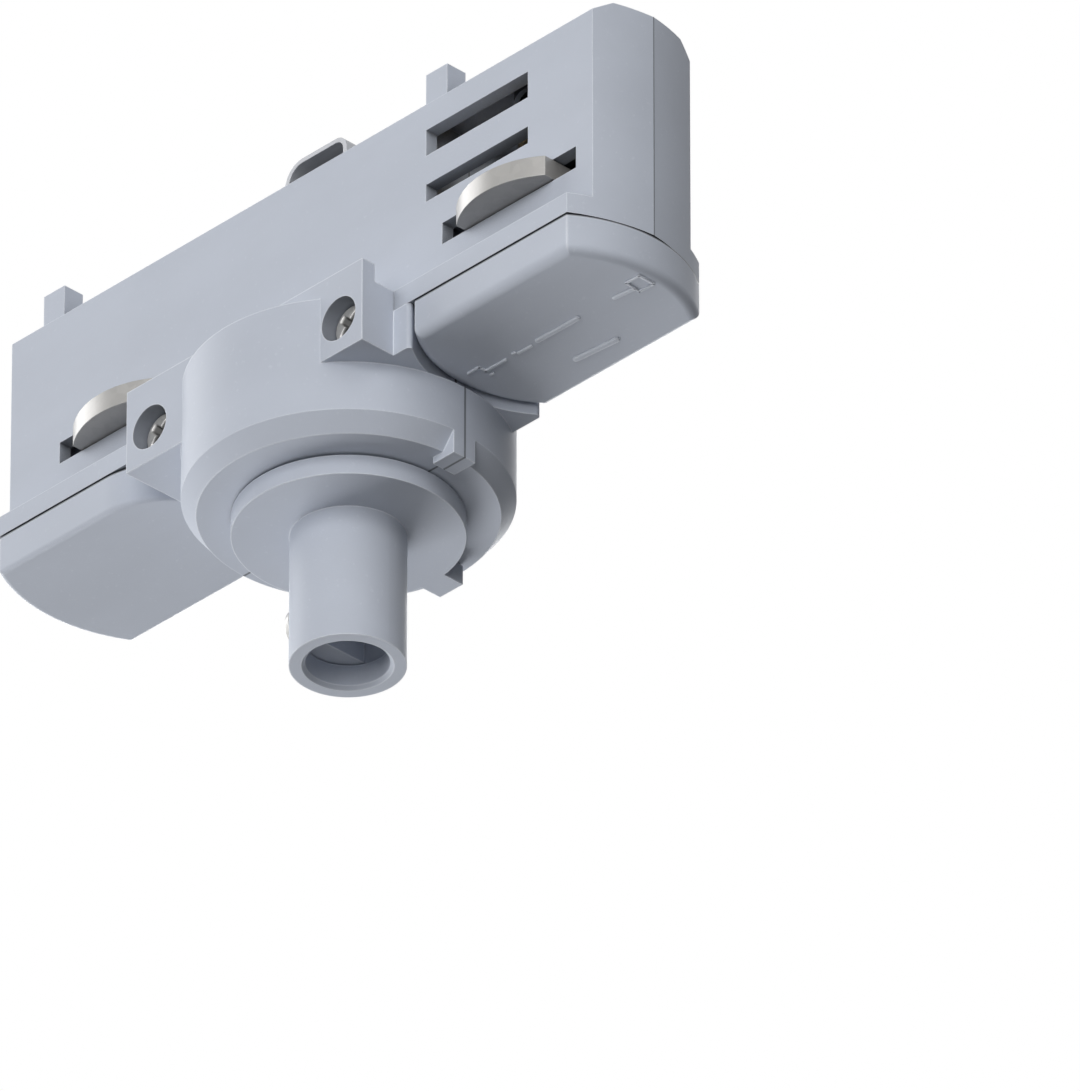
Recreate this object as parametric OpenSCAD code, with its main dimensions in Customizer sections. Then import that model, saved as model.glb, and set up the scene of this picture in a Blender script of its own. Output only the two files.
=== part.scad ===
// Track light adapter: a plug-in adapter that locks into a ceiling track with two cams,
// taps the track's conductors with two swinging contacts and carries a swivelling cord tube.
// X runs along the track and Z points up into it. The origin lies on the swivel axis,
// on the parting plane, at the height of the seat on the track's lips.

/* [Housing] */
// Width of the housing that enters the track slot
body_w = 16; // [15.5:0.1:19]
// Height of the housing above the seat
body_h = 28; // [27.6:0.1:34]
// Wall of the half-shells
wall = 1.8; // [1.4:0.1:2]
// Floor of the half-shells
floor_t = 2; // [1.5:0.1:3]
// Roof of the half-shells
roof_t = 2.2; // [1.8:0.1:2.6]
// Width of the bevel along the top edges
bevel_w = 2.5; // [1:0.1:3]
// Height of the bevel along the top edges
bevel_h = 1.5; // [0.5:0.1:2]
// Width of the rim that seats on the track's lips
rim_w = 21.6; // [20:0.1:24]
// Height of the rim
rim_h = 2.75; // [2:0.05:3.5]
// Offset of the end arcs' centres, which makes the crease on the parting line
crease = 2.5; // [0.5:0.1:4]
// Thickness of the cross walls and webs inside
rib_t = 1.6; // [1.2:0.1:2]
// Space between the cam slots and the upper webs
web_over = 1.9; // [1.5:0.1:2.2]

/* [Selector end] */
// Distance from the swivel axis to the selector's pivot
selector_x = 35.5; // [35:0.1:39]
// Radius of the selector knob towards the drum
selector_r = 16.9; // [16.4:0.1:18]
// Reach of the housing end and of the knob's outer end from the pivot
selector_end = 16.2; // [15.5:0.1:16.4]

/* [Lever end] */
// Distance from the swivel axis to the lever's pivot
lever_x = 30.45; // [30.2:0.05:34]
// Reach of the lever and of the housing end above it
lever_r = 21.5; // [19.5:0.1:24]

/* [Knob and lever] */
// Height of the knob and of the lever
knob_h = 5.1; // [4:0.1:6]
// Gap between the rim and the knob
knob_gap = 0.3; // [0.2:0.05:0.6]
// Rounding of the knob's lower edge
knob_edge = 1.2; // [0.5:0.1:2]
// Rounding of the lever's lower edge
lever_edge = 0.6; // [0.3:0.1:1.5]
// Gap round the knob and the lever in plan
knob_clear = 0.4; // [0.3:0.05:0.8]
// Radius of the shafts in the floor
shaft_r = 4.5; // [4.3:0.1:5]
// Width across the square that drives the cams
drive_w = 6; // [5.2:0.1:6]
// Radius of the shafts in the upper web
journal_r = 2.4; // [2:0.1:2.5]
// Distance of the carrier's drive flat from the shaft's axis
flat_x = 1.45; // [1.2:0.05:1.8]
// Radial running clearance of every shaft
run = 0.05; // [0.03:0.01:0.09]

/* [Lock cams] */
// Radius of the cams
cam_r = 12; // [11.5:0.1:12.5]
// Width of the cams, hidden in the housing when turned
cam_w = 15; // [13.5:0.1:15]
// Thickness of the cams
cam_t = 2.7; // [2:0.1:3]
// Height of the cam slots above the seat
slot_z = 5.4; // [5.3:0.1:6]
// Length of the cam slots
slot_l = 22.6; // [21.8:0.1:23]
// Clearance above and below the cams
cam_clear = 0.15; // [0.1:0.05:0.3]

/* [Contact windows] */
// Reach of the windows from the selector's pivot towards the middle
window_back = 14.1; // [13.4:0.05:14.5]
// Reach of the windows past the selector's pivot
window_front = 3.2; // [2.9:0.05:4]
// Height of the lower window above the seat
low_window_z = 12.7; // [12.6:0.1:13.2]
// Opening of the lower window
low_window_h = 2.4; // [2.2:0.1:2.6]
// Depth of the upper window below the top of the housing
high_window_down = 5.15; // [4.9:0.05:5.6]
// Opening of the upper window
high_window_h = 3.65; // [3:0.05:4]

/* [Contacts] */
// Reach of the contact arms from the selector's pivot
contact_r = 11.6; // [11:0.1:12]
// Width of the contact arms
contact_w = 4.5; // [3.5:0.1:5]
// Thickness of the contact arms
contact_t = 1; // [0.6:0.1:1.2]
// Clearance between a contact arm and the edge of its window
arm_clear = 0.5; // [0.4:0.05:0.6]
// Wall of the contact sleeves
sleeve_t = 0.7; // [0.5:0.1:0.9]
// Radius of the carrier under the sleeves
carrier_r = 4; // [3.6:0.1:4.2]
// Radius of the pin on the carrier's top
pin_r = 2.5; // [2:0.1:3]
// Thickness of the brass strips
strip_t = 0.5; // [0.4:0.05:0.7]
// Height of the brass strips
strip_h = 1.3; // [1:0.1:1.4]
// Gap between a sliding contact and its strip
strip_gap = 0.3; // [0.2:0.05:0.4]

/* [Pegs] */
// Width of the pegs along the track
peg_w = 3.6; // [2.5:0.1:5]
// Depth of the pegs across the track
peg_d = 3; // [2:0.1:4]
// Height of the pegs above the roof
peg_h = 3.2; // [2:0.1:4]
// Distance of the pegs behind the front face
peg_back = 0.55; // [0.3:0.05:1]
// Place of the right peg
right_peg_x = 22.6; // [21.5:0.05:24.5]
// Place of the left peg
left_peg_x = -43.65; // [-45:0.05:-42]
// Depth of the step behind each peg
peg_step = 0.5; // [0.3:0.1:1]
// Drop of that step below the peg's top
peg_step_drop = 1.2; // [0.8:0.1:1.8]

/* [Earth spring] */
// Width of the loop along the track
loop_w = 10.6; // [9:0.1:12]
// Height of the loop above the roof
loop_h = 4; // [3.5:0.1:5]
// Width of the strip across the track
loop_d = 10; // [6:0.1:10.4]
// Thickness of the strip
loop_t = 0.6; // [0.4:0.05:0.8]
// Place of the loop's middle along the track
loop_x = -0.7; // [-2:0.1:2]
// Bend radius at the loop's left shoulder
left_bend = 3; // [1.5:0.1:3.2]
// Bend radius at the loop's right shoulder
right_bend = 1.9; // [1.5:0.1:3.2]
// Travel of the loop when it is pressed
loop_travel = 1.5; // [0.5:0.1:2]
// Space left under the legs when the loop is pressed
leg_space = 1.3; // [0.8:0.1:1.5]
// Reach of the barbs that hook under the roof
barb = 0.9; // [0.6:0.1:1.2]
// Width of the strip that earths the loop
earth_strip_w = 6; // [4:0.5:8]

/* [Terminal block] */
// Height of the ledges that carry the block
ledge_z = 9; // [8.5:0.1:9.2]
// Cover of the block over the upper feed strip
block_cover = 0.55; // [0.4:0.05:0.8]
// Distance between the terminals
terminal_pitch = 9; // [7.5:0.1:9.5]
// Radius of the wire holes
wire_r = 1.7; // [1:0.1:2]
// Depth of the wire holes
wire_depth = 5; // [4:0.1:5.5]
// Depth of the screw wells
well_h = 3; // [2.5:0.1:3.5]
// Length of the terminal screws' shanks
terminal_shank_l = 3; // [2:0.1:3]
// Radius of the terminal screws' heads
terminal_head_r = 1.9; // [1.6:0.05:2.1]

/* [Clamp drum] */
// Radius of the drum
drum_r = 19.8; // [19.5:0.1:20.5]
// Height of the drum below the seat
drum_h = 17.9; // [17.8:0.1:20]
// Radius of the drum's lower face
ring_r = 18; // [17.5:0.1:19]
// Height of the drum's lower chamfer
drum_chamfer = 2.3; // [1:0.1:3]
// Thickness of the ring that carries the swivel
ring_t = 2.2; // [1.8:0.1:2.5]
// Height of the flange round the knobs
flange_h = 9; // [8.8:0.1:9.6]
// Gap between the housing and the tabs, for the track's side wall
lip_gap = 5.9; // [5:0.1:7]
// Thickness of the tabs
tab_t = 2; // [1.5:0.1:2.5]
// Height of the tabs above the seat
tab_h = 2.4; // [1.5:0.1:4]
// Reach of the ears to the left
ear_left = 21.5; // [21.2:0.1:22]
// Reach of the ears to the right
ear_right = 18.9; // [18.4:0.1:19.1]
// Width of the drum's swivel stop
stop_w = 3.5; // [2.5:0.1:4.5]
// Inner radius of the drum's swivel stop
stop_r = 16.2; // [16:0.1:16.4]
// Drop of the swivel stop below the drum
stop_drop = 0.9; // [0.7:0.1:1.4]
// Rounding of the flange's horns beside the selector knob
horn_r = 0.5; // [0.4:0.1:1.2]

/* [Spigot] */
// Length of the housing's spigot in the drum
spigot_l = 23; // [20:0.5:24]
// Width of the spigot's neck
spigot_w = 12; // [11:0.1:13]
// Depth of the spigot
spigot_h = 8; // [7:0.1:8.5]
// Overhang of the spigot's foot
foot_w = 2; // [1:0.1:2.4]
// Height of the spigot's foot
foot_h = 2; // [1.5:0.1:3]
// Wall of the spigot round the wires
spigot_wall = 2; // [1.5:0.1:2.5]
// Clearance between fixed pieces
fit = 0.1; // [0.05:0.01:0.15]

/* [Swivel outlet] */
// Radius of the swivel's disc
disc_r = 13.9; // [13.6:0.1:14.8]
// Thickness of the swivel's disc
disc_t = 2.6; // [2:0.1:4]
// Radius of the swivel's neck in the drum
neck_r = 12; // [11:0.1:12.5]
// Radius of the swivel's flange inside the drum
swivel_flange_r = 15; // [14:0.1:15.5]
// Thickness of the swivel's flange
swivel_flange_t = 2; // [1.5:0.1:2.4]
// Axial gap of the swivel
swivel_gap = 0.3; // [0.2:0.05:0.4]
// Thickness of the friction washer
washer_t = 0.9; // [0.5:0.1:1.2]
// Width of the swivel's stop lug
lug_w = 3.9; // [3:0.1:5]
// Reach of the swivel's stop lug
lug_r = 16.8; // [16.6:0.1:17.4]

/* [Cord tube] */
// Outer radius of the cord tube
tube_r = 6.95; // [6.8:0.05:7.6]
// Length of the cord tube below the disc
tube_l = 17.9; // [17:0.1:26]
// Radius of the cord bore
bore_r = 5; // [4.8:0.05:5.2]
// Chamfer at the mouth of the bore
mouth_chamfer = 0.45; // [0.2:0.05:0.8]
// Length of the bore's mouth below the shoe
mouth_l = 3.2; // [2.5:0.1:4]

/* [Cord clamp] */
// Distance of the clamp screw above the mouth
clamp_up = 8.1; // [7.6:0.1:9]
// Radius of the clamp screw
clamp_screw_r = 1.5; // [1.25:0.05:1.75]
// Radius of the clamp screw's head
clamp_head_r = 3; // [2.6:0.1:3.1]
// Height of the clamp screw's head
clamp_head_t = 1; // [0.8:0.1:1.4]
// Travel of the clamp screw and the shoe
clamp_travel = 1; // [0.6:0.1:1.4]
// Thickness of the clamp shoe
shoe_t = 3.1; // [2.6:0.1:3.2]
// Length of the clamp shoe
shoe_l = 9.4; // [8.8:0.1:10]
// Width of the driver slots in the clamp and terminal screws
driver_slot_w = 0.8; // [0.6:0.1:1]

/* [Fasteners] */
// Place of the right clamp screw
right_screw_x = 14.9; // [14.6:0.05:15.4]
// Place of the left clamp screw
left_screw_x = -17.5; // [-17.7:0.05:-17.2]
// Depth of the clamp screws below the seat
ear_screw_z = 4.25; // [4.1:0.05:5]
// Radius of the clamp screws' heads
ear_head_r = 2.65; // [2.2:0.05:2.7]
// Depth of the heads' recesses
ear_recess = 3; // [2.5:0.1:3.5]
// Height of the screw heads
head_t = 1.2; // [1:0.1:1.5]
// Radius of the screw shanks
shank_r = 1.2; // [1:0.05:1.25]
// Length of the screw shanks
shank_l = 16; // [14:0.5:18]
// Half length of a head's cross recess
cross_reach = 1.6; // [1.2:0.05:1.7]
// Width of a head's cross recess
cross_w = 0.7; // [0.5:0.05:0.8]
// Depth of a head's cross recess
cross_d = 0.8; // [0.5:0.05:0.9]
// Radius of the bosses in the housing
boss_r = 3; // [2.8:0.1:3.3]
// Distance of the bosses from the housing's ends
boss_in = 5.7; // [5.2:0.1:6.2]
// Height of the bosses above the seat
boss_z = 18; // [17:0.1:20]
// Radius of the housing screws' heads
shell_head_r = 2.1; // [1.8:0.05:2.3]
// Depth of the housing screws' seats below the rear face
shell_head_in = 2; // [1.5:0.1:2.4]
// Length of the housing screws' shanks
shell_shank_l = 9; // [7:0.5:10]

/* [Hidden] */
$fn = 96;
far = 200;
lap = 1;
hw = body_w / 2;
iw = hw - wall;
rim_hw = rim_w / 2;
roof_z = body_h - roof_t;
slot_h = cam_t + 2 * cam_clear;
web_z = slot_z + slot_h + web_over;
web_top = web_z + rib_t;
rib_space = 1;
right_rib = selector_x - window_back - rib_space;
left_rib = -lever_x + cam_r + rib_space;
block_space = 0.4;
block_x0 = left_rib + rib_t + block_space;
block_x1 = right_rib - rib_t - block_space;
block_mid = (block_x0 + block_x1) / 2;
ledge_w = 2.2;
ledge_t = 1.8;

knob_top = -rim_h - knob_gap;
drive_z = slot_z + cam_clear;
drive_top = drive_z + cam_t + cam_clear;
collar_r = drive_w / 2 - run;
collar_h = 1.5;
seat_gap = 0.3;

ring_boss_r = 5.2;
ring_boss_bore = 4.6;
ring_boss_h = 2.4;
pin_l = 1.2;
carrier_foot_r = carrier_r + sleeve_t;
carrier_z = web_top + seat_gap;
high_window_z = body_h - high_window_down - high_window_h;
low_arm_z = low_window_z + arm_clear;
high_arm_z = high_window_z + high_window_h - arm_clear - contact_t;
sleeve_split = (low_arm_z + contact_t + high_arm_z) / 2;
split_h = 0.8;
sleeve_r = carrier_r + fit / 2 + sleeve_t;
strip_y = sleeve_r + strip_gap;
strip_space = 0.2;
low_strip_z = sleeve_split - split_h / 2 - strip_space - strip_h;
high_strip_z = sleeve_split + split_h / 2 + strip_space;
block_top = high_strip_z + strip_h + block_cover;
strip_in = 3;
strip_end = 2;

ear_y = hw + lip_gap + tab_t;
flange_right = 22.5;
ring_top = -drum_h + ring_t;
swivel_flange_z = ring_top + swivel_gap;
cavity_top = swivel_flange_z + swivel_flange_t + swivel_gap + washer_t;
cavity_clear = 0.4;
cavity_r = swivel_flange_r + cavity_clear;
wire_way_r = 6;
washer_in = 8;
washer_clear = 0.5;
relief_h = flange_h - rim_h;
relief_r = selector_r + knob_clear;
disc_z = -drum_h - swivel_gap - disc_t;
tube_end = disc_z - tube_l;
shoe_step = 0.2;
shoe_gap = 0.2;
shoe_bore = bore_r + shoe_step;
shoe_z = tube_end + mouth_l + shoe_gap;
clamp_z = tube_end + clamp_up;
spot_clear = 0.4;
spot_r = clamp_head_r + spot_clear;
spot_in = 0.1;
spot_x = sqrt(tube_r * tube_r - spot_r * spot_r) - spot_in;
end_gap = 0.05;
head_in = spot_x + clamp_travel + end_gap;
tip_x = 3.4;
clamp_slot_reach = 0.9 * clamp_head_r;
slot_d = 0.55;

right_boss_x = selector_x + selector_end - boss_in;
left_boss_x = -lever_x - lever_r + boss_in;
shell_head_y = hw - shell_head_in;
hole_end = 0.5;
recess_floor = -ear_y + ear_recess;

plastic = [0.70, 0.72, 0.77];
dark_plastic = [0.25, 0.26, 0.28];
steel = [0.78, 0.77, 0.74];
brass = [0.80, 0.66, 0.36];

// Distance of an end arc's centre from the end's middle, which lies r from its pivot
function end_reach(r) = r + hw * crease / (r - sqrt(r * r - hw * hw));

// Distance of the rim's corner from an end's pivot along X
function corner_x(r) = r - end_reach(r)
  + sqrt(pow(end_reach(r), 2) + crease * crease - pow(rim_hw + crease, 2));

// Radius of the round through the rim's two corners and the end's middle
function face_r(r) = (rim_hw * rim_hw + pow(r - corner_x(r), 2)) / (2 * (r - corner_x(r)));

// An end of the housing in plan, towards +X: two arcs that meet in a crease on the parting line
module end_arcs(r) {
  reach = end_reach(r);
  arc_r = sqrt(reach * reach + crease * crease);
  intersection() {
    translate([r - reach, crease]) circle(arc_r);
    translate([r - reach, -crease]) circle(arc_r);
  }
}

// Outline of the housing in plan: two creased ends joined by straight sides
module plan(half_w) {
  intersection() {
    square([2 * far, 2 * half_w], center = true);
    union() {
      translate([selector_x, 0]) end_arcs(selector_end);
      translate([-lever_x, 0]) mirror([1, 0]) end_arcs(lever_r);
      translate([-lever_x, -half_w]) square([selector_x + lever_x, 2 * half_w]);
    }
  }
}

// Outline of the space inside the walls, with plain round ends
module inner_plan() {
  intersection() {
    square([2 * far, 2 * iw], center = true);
    union() {
      translate([selector_x, 0]) circle(selector_end - wall);
      translate([-lever_x, 0]) circle(lever_r - wall);
      translate([-lever_x, -iw]) square([selector_x + lever_x, 2 * iw]);
    }
  }
}

// A box between two corners
module block(low, high) {
  translate(low) cube(high - low);
}

// The half-space in front of (side -1) or behind (side 1) the parting plane
module half(side) {
  intersection() {
    children();
    translate([0, side * far / 2, 0]) cube([2 * far, far, 2 * far], center = true);
  }
}

// A cylinder on the Z axis between two heights
module z_rod(z0, z1, r) {
  translate([0, 0, z0]) cylinder(r = r, h = z1 - z0);
}

// A cylinder along Y from y0 to y1
module y_rod(x, z, y0, y1, r) {
  translate([x, y0, z]) rotate([-90, 0, 0]) cylinder(r = r, h = y1 - y0);
}

// A hollow space of the housing between two cross walls
module chamber(x0, x1, z0, z1) {
  intersection() {
    translate([0, 0, z0]) linear_extrude(z1 - z0) inner_plan();
    block([x0, -far, z0 - lap], [x1, far, z1 + lap]);
  }
}

// Section of the housing across the track, with its bevelled top edges
module body_section() {
  polygon([
    [-hw, 0], [hw, 0], [hw, body_h - bevel_h], [hw - bevel_w, body_h],
    [-hw + bevel_w, body_h], [-hw, body_h - bevel_h]
  ]);
}

// The housing's outer form: body, rim and the spigot held by the drum
module housing_form() {
  intersection() {
    linear_extrude(body_h) plan(hw);
    translate([-far, 0, 0]) rotate([90, 0, 90]) linear_extrude(2 * far) body_section();
  }
  difference() {
    translate([0, 0, -rim_h]) linear_extrude(rim_h) plan(rim_hw);
    block([-ear_left - fit, -far, -far], [ear_right + fit, far, far]);
  }
  block([-spigot_l / 2, -spigot_w / 2, -spigot_h], [spigot_l / 2, spigot_w / 2, lap]);
  block(
    [-spigot_l / 2, -spigot_w / 2 - foot_w, -spigot_h],
    [spigot_l / 2, spigot_w / 2 + foot_w, foot_h - spigot_h]
  );
}

// The three chambers, the bearings, slots and windows cut from the housing
module housing_cuts() {
  chamber(right_rib, far, floor_t, web_z);
  chamber(right_rib, far, web_top, roof_z);
  chamber(-far, left_rib, floor_t, web_z);
  chamber(-far, left_rib, web_top, roof_z);
  chamber(left_rib + rib_t, right_rib - rib_t, floor_t, roof_z);
  block(
    [-spigot_l / 2 + spigot_wall, -spigot_w / 2 + spigot_wall, -far],
    [spigot_l / 2 - spigot_wall, spigot_w / 2 - spigot_wall, floor_t + lap]
  );
  for (pivot = [selector_x, -lever_x]) {
    translate([pivot, 0, 0]) {
      z_rod(-rim_h - lap, floor_t + lap, shaft_r + run);
      z_rod(web_z - lap, web_top + lap, journal_r + run);
    }
    block([pivot - slot_l / 2, -far, slot_z], [pivot + slot_l / 2, far, slot_z + slot_h]);
  }
  for (window = [[low_window_z, low_window_h], [high_window_z, high_window_h]]) {
    block(
      [selector_x - window_back, -far, window[0]],
      [selector_x + window_front, far, window[0] + window[1]]
    );
  }
  translate([selector_x, 0, 0]) z_rod(roof_z - lap, roof_z + pin_l, pin_r + run);
  for (z = [low_strip_z, high_strip_z]) {
    block(
      [right_rib - rib_t - lap, strip_y - fit, z - fit],
      [right_rib + lap, strip_y + strip_t + fit, z + strip_h + fit]
    );
  }
  for (side = [-1, 1]) {
    leg_x = loop_x + side * (loop_w - loop_t) / 2;
    block(
      [leg_x - loop_t / 2 - fit, -loop_d / 2 - fit, roof_z - lap],
      [leg_x + loop_t / 2 + fit, loop_d / 2 + fit, far]
    );
  }
}

// Features inside the chambers: ledges, screw bosses and the ring round the carrier's pin
module housing_inside() {
  for (x = [left_rib + rib_t - lap, right_rib - rib_t - ledge_w]) {
    block([x, -iw - lap, ledge_z - ledge_t], [x + ledge_w + lap, iw + lap, ledge_z]);
  }
  for (x = [left_boss_x, right_boss_x]) {
    y_rod(x, boss_z, -iw - lap, iw + lap, boss_r);
  }
  translate([selector_x, 0, 0]) difference() {
    z_rod(roof_z - ring_boss_h, roof_z + lap, ring_boss_r);
    z_rod(roof_z - ring_boss_h - lap, roof_z, ring_boss_bore);
    z_rod(roof_z - lap, roof_z + pin_l, pin_r + run);
  }
}

// Square peg on the roof with a low step behind it
module peg(x) {
  peg_y = -hw + peg_back;
  block([x - peg_w / 2, peg_y, roof_z], [x + peg_w / 2, peg_y + peg_d, body_h + peg_h]);
  block(
    [x - peg_w / 2, peg_y + peg_d - lap, roof_z],
    [x + peg_w / 2, peg_y + peg_d + peg_step, body_h + peg_h - peg_step_drop]
  );
}

module housing() {
  difference() {
    housing_form();
    housing_cuts();
  }
  housing_inside();
}

module front_housing() {
  color(plastic) difference() {
    union() {
      half(-1) housing();
      peg(left_peg_x);
      peg(right_peg_x);
    }
    for (x = [left_boss_x, right_boss_x]) {
      y_rod(x, boss_z, shell_head_y - shell_shank_l - hole_end, lap, shank_r + fit / 2);
    }
  }
}

module rear_housing() {
  color(plastic) difference() {
    half(1) housing();
    for (x = [left_boss_x, right_boss_x]) {
      y_rod(x, boss_z, -lap, far, shank_r + fit);
      y_rod(x, boss_z, shell_head_y, far, shell_head_r + fit);
    }
  }
}

// A cross-slotted screw along Y with its head at the negative end
module cross_screw(head_r, length) {
  difference() {
    union() {
      rotate([-90, 0, 0]) cylinder(r = shank_r, h = length);
      translate([0, -head_t, 0]) rotate([-90, 0, 0]) cylinder(r = head_r, h = head_t);
    }
    for (turn = [0, 90]) {
      rotate([0, turn, 0]) {
        block([-cross_reach, -head_t - lap, -cross_w / 2], [cross_reach, cross_d - head_t, cross_w / 2]);
      }
    }
  }
}

module housing_screws() {
  color(steel) for (x = [left_boss_x, right_boss_x]) {
    translate([x, shell_head_y, boss_z]) rotate([0, 0, 180]) cross_screw(shell_head_r, shell_shank_l);
  }
}

module clamp_screws() {
  color(steel) for (x = [left_screw_x, right_screw_x]) {
    translate([x, recess_floor, -ear_screw_z]) rotate([0, 45, 0]) cross_screw(ear_head_r, shank_l);
  }
}

// The drum's outer form with its flange, ears, tabs and swivel stop
module clamp_form() {
  rotate_extrude() polygon([
    [0, -drum_h], [ring_r, -drum_h], [drum_r, drum_chamfer - drum_h], [drum_r, 0], [0, 0]
  ]);
  block([-ear_left, -rim_hw, -flange_h], [flange_right, rim_hw, 0]);
  block([-ear_left, -ear_y, -flange_h], [ear_right, 0, 0]);
  block([-ear_left, -ear_y, -lap], [ear_right, tab_t - ear_y, tab_h]);
  intersection() {
    translate([0, 0, -drum_h - stop_drop]) cylinder(r = drum_r, h = drum_h);
    block([stop_r, -stop_w / 2, -drum_h - stop_drop], [far, stop_w / 2, drum_chamfer - drum_h]);
  }
}

// Sharp tip of a flange horn beyond its rounding, in plan from the selector's pivot
module horn_tip() {
  round_y = rim_hw - horn_r;
  round_x = -sqrt(pow(relief_r + horn_r, 2) - round_y * round_y);
  touch = relief_r / (relief_r + horn_r);
  horn_x = -sqrt(relief_r * relief_r - rim_hw * rim_hw);
  difference() {
    polygon([
      [round_x, round_y], [touch * round_x, touch * round_y],
      [horn_x + lap, rim_hw], [horn_x + lap, rim_hw + lap], [round_x, rim_hw + lap]
    ]);
    translate([round_x, round_y]) circle(horn_r);
  }
}

// Room for the knob, the lever and its swing, the swivel, the spigot and the wires
module clamp_cuts() {
  translate([selector_x, 0, -flange_h]) {
    cylinder(r = relief_r, h = relief_h);
    for (side = [0, 1]) {
      mirror([0, side, 0]) linear_extrude(relief_h) horn_tip();
    }
  }
  translate([-lever_x, 0, -flange_h]) {
    cylinder(r = rim_hw + knob_clear, h = relief_h);
    block([-rim_hw, 0, 0], [rim_hw + knob_clear, far, relief_h]);
  }
  block([ear_right, -far, -rim_h], [far, far, far]);
  z_rod(-far, ring_top + lap, neck_r + run);
  z_rod(ring_top, cavity_top, cavity_r);
  z_rod(cavity_top - lap, far, wire_way_r);
  block(
    [-spigot_l / 2 - fit, -spigot_w / 2 - fit, -spigot_h - fit],
    [spigot_l / 2 + fit, spigot_w / 2 + fit, lap]
  );
  block(
    [-spigot_l / 2 - fit, -spigot_w / 2 - foot_w - fit, -spigot_h - fit],
    [spigot_l / 2 + fit, spigot_w / 2 + foot_w + fit, foot_h - spigot_h + fit]
  );
}

module clamp_body() {
  difference() {
    clamp_form();
    clamp_cuts();
  }
}

module front_clamp() {
  color(plastic) difference() {
    half(-1) clamp_body();
    for (x = [left_screw_x, right_screw_x]) {
      y_rod(x, -ear_screw_z, -far, lap, shank_r + fit);
      y_rod(x, -ear_screw_z, -far, recess_floor, ear_head_r + 2 * fit);
    }
  }
}

module rear_clamp() {
  color(plastic) difference() {
    half(1) clamp_body();
    for (x = [left_screw_x, right_screw_x]) {
      y_rod(x, -ear_screw_z, -lap, recess_floor + shank_l + hole_end, shank_r + fit / 2);
    }
  }
}

// Swivel: flange and neck in the drum, disc with stop lug, cord tube with its stepped bore
module swivel_outlet() {
  swivel_top = swivel_flange_z + swivel_flange_t;
  color(plastic) difference() {
    union() {
      rotate_extrude() polygon([
        [bore_r + mouth_chamfer, tube_end], [tube_r, tube_end], [tube_r, disc_z], [disc_r, disc_z],
        [disc_r, disc_z + disc_t], [neck_r, disc_z + disc_t], [neck_r, swivel_flange_z],
        [swivel_flange_r, swivel_flange_z], [swivel_flange_r, swivel_top],
        [shoe_bore, swivel_top], [shoe_bore, tube_end + mouth_l], [bore_r, tube_end + mouth_l],
        [bore_r, tube_end + mouth_chamfer]
      ]);
      block([-lug_w / 2, neck_r - lap, disc_z], [lug_w / 2, lug_r, disc_z + disc_t]);
    }
    translate([-tube_r - lap, 0, clamp_z]) rotate([0, 90, 0]) {
      cylinder(r = clamp_screw_r + run, h = tube_r);
      cylinder(r = spot_r, h = tube_r + lap - spot_x);
    }
  }
}

module friction_washer() {
  color(dark_plastic) difference() {
    z_rod(cavity_top - washer_t, cavity_top, swivel_flange_r - washer_clear);
    z_rod(-far, far, washer_in);
  }
}

// Slotted screw on the tube's left side, with its tip turning in the shoe
module cord_clamp_screw() {
  color(steel) difference() {
    union() {
      translate([-head_in - clamp_head_t, 0, clamp_z]) rotate([0, 90, 0]) {
        cylinder(r = clamp_head_r, h = clamp_head_t);
        cylinder(r = clamp_screw_r, h = head_in + clamp_head_t - tip_x);
      }
    }
    block(
      [-far, -clamp_slot_reach, clamp_z - driver_slot_w / 2],
      [slot_d - head_in - clamp_head_t, clamp_slot_reach, clamp_z + driver_slot_w / 2]
    );
  }
}

// D-shaped shoe that presses on the cord
module cord_clamp_shoe() {
  color(plastic) difference() {
    intersection() {
      z_rod(shoe_z, shoe_z + shoe_l, shoe_bore - run);
      block([-far, -far, -far], [shoe_t - shoe_bore, far, far]);
    }
    translate([-far, 0, clamp_z]) rotate([0, 90, 0]) {
      cylinder(r = clamp_screw_r + run, h = far - tip_x + run);
    }
  }
}

// A round plate with a rounded lower edge, from knob_top down
module knob_disc(r, edge) {
  rotate_extrude() {
    difference() {
      translate([0, knob_top - knob_h]) square([r, knob_h]);
      translate([r - edge, knob_top - knob_h]) square([edge, edge]);
    }
    translate([r - edge, knob_top - knob_h + edge]) intersection() {
      circle(edge);
      translate([0, -edge]) square(edge);
    }
  }
}

// A bar along X as wide as the rim, with rounded lower edges
module knob_bar(edge) {
  translate([-far, 0, 0]) rotate([90, 0, 90]) linear_extrude(2 * far) {
    translate([-rim_hw, knob_top - knob_h + edge]) square([rim_w, knob_h - edge]);
    translate([-rim_hw + edge, knob_top - knob_h]) square([rim_w - 2 * edge, knob_h]);
    for (side = [-1, 1]) {
      translate([side * (rim_hw - edge), knob_top - knob_h + edge]) circle(edge);
    }
  }
}

// Shaft of a knob: floor bearing, square drive for the cam, journal in the web
module knob_shaft() {
  z_rod(knob_top, drive_z, shaft_r);
  block([-drive_w / 2, -drive_w / 2, drive_z], [drive_w / 2, drive_w / 2, drive_top]);
  z_rod(drive_top, web_top + seat_gap, journal_r);
}

module selector_knob() {
  color(plastic) translate([selector_x, 0, 0]) {
    intersection() {
      knob_disc(selector_r, knob_edge);
      translate([selector_end - face_r(selector_end), 0, 0]) knob_disc(face_r(selector_end), knob_edge);
      knob_bar(knob_edge);
    }
    knob_shaft();
    intersection() {
      z_rod(drive_top, sleeve_split, journal_r);
      block([-far, -far, carrier_z], [flat_x, far, far]);
    }
  }
}

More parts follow.
